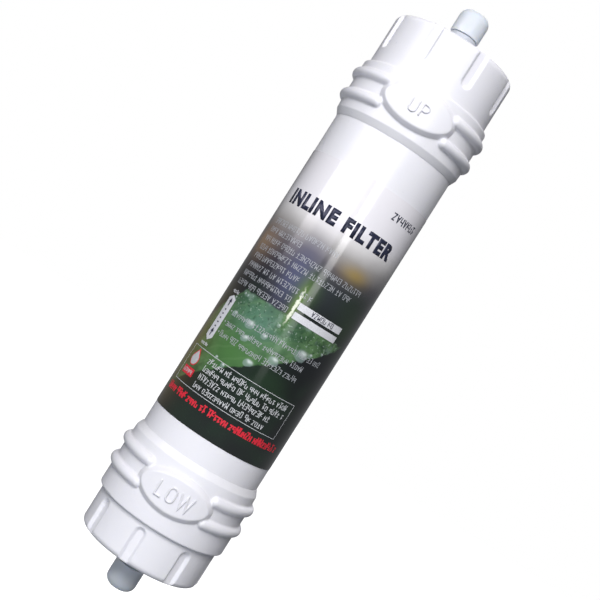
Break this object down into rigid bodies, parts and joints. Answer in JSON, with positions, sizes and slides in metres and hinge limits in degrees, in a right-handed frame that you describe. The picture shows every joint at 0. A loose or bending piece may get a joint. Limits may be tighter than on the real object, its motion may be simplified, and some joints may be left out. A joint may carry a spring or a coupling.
{
  "type": "inline water filter",
  "caption": "White inline water filter cartridge: tube with printed film, two fluted caps with oval badges, and a plugged push-fit port at each end.",
  "frame": {"origin": "on the cartridge's axis, halfway between the outer faces of the two end caps", "axes": "+Z along the axis towards the outlet (UP) port, -Y out of the front, where both badges face, +X to the right of someone who reads them"},
  "size_m": [0.064, 0.0644, 0.2865],
  "materials": {
    "white_plastic": "satin moulded white polypropylene",
    "label_film": "glossy printed film, mostly black with a green leaf",
    "collet_plastic": "white acetal",
    "plug_plastic": "soft grey, slightly translucent polyethylene",
    "inner_plastic": "natural polypropylene",
    "net_plastic": "white extruded net",
    "stainless": "stamped stainless steel",
    "seal_rubber": "black rubber",
    "carbon": "pressed carbon, rough",
    "nonwoven": "thin white non-woven"
  },
  "bodies": {
    "cartridge": {"housing_tube": "white_plastic", "upper_cap": "white_plastic", "lower_cap": "white_plastic", "label_wrap": "label_film", "upper_port_oring": "seal_rubber", "lower_port_oring": "seal_rubber", "outlet_stem_orings": "seal_rubber", "upper_port_retainer": "inner_plastic", "lower_port_retainer": "inner_plastic", "upper_port_spacer": "inner_plastic", "lower_port_spacer": "inner_plastic", "carbon_block": "carbon", "prefilter_wrap": "nonwoven", "outer_net": "net_plastic", "core_tube": "inner_plastic", "outlet_end_cap": "inner_plastic", "inlet_end_cap": "inner_plastic", "inlet_spreader": "inner_plastic"},
    "upper_collet": {"upper_collet": "collet_plastic", "upper_grip_ring": "stainless"},
    "lower_collet": {"lower_collet": "collet_plastic", "lower_grip_ring": "stainless"},
    "upper_plug": {"upper_plug": "plug_plastic"},
    "lower_plug": {"lower_plug": "plug_plastic"}
  },
  "joints": [
    {"name": "upper_collet_press", "type": "slide", "parent": "cartridge", "child": "upper_collet", "axis": [0, 0, -1], "range_m": [0, 0.0013]},
    {"name": "lower_collet_press", "type": "slide", "parent": "cartridge", "child": "lower_collet", "axis": [0, 0, 1], "range_m": [0, 0.0013]},
    {"name": "upper_plug_pull", "type": "slide", "parent": "cartridge", "child": "upper_plug", "axis": [0, 0, 1], "range_m": [0, 0.028]},
    {"name": "lower_plug_pull", "type": "slide", "parent": "cartridge", "child": "lower_plug", "axis": [0, 0, -1], "range_m": [0, 0.028]}
  ]
}
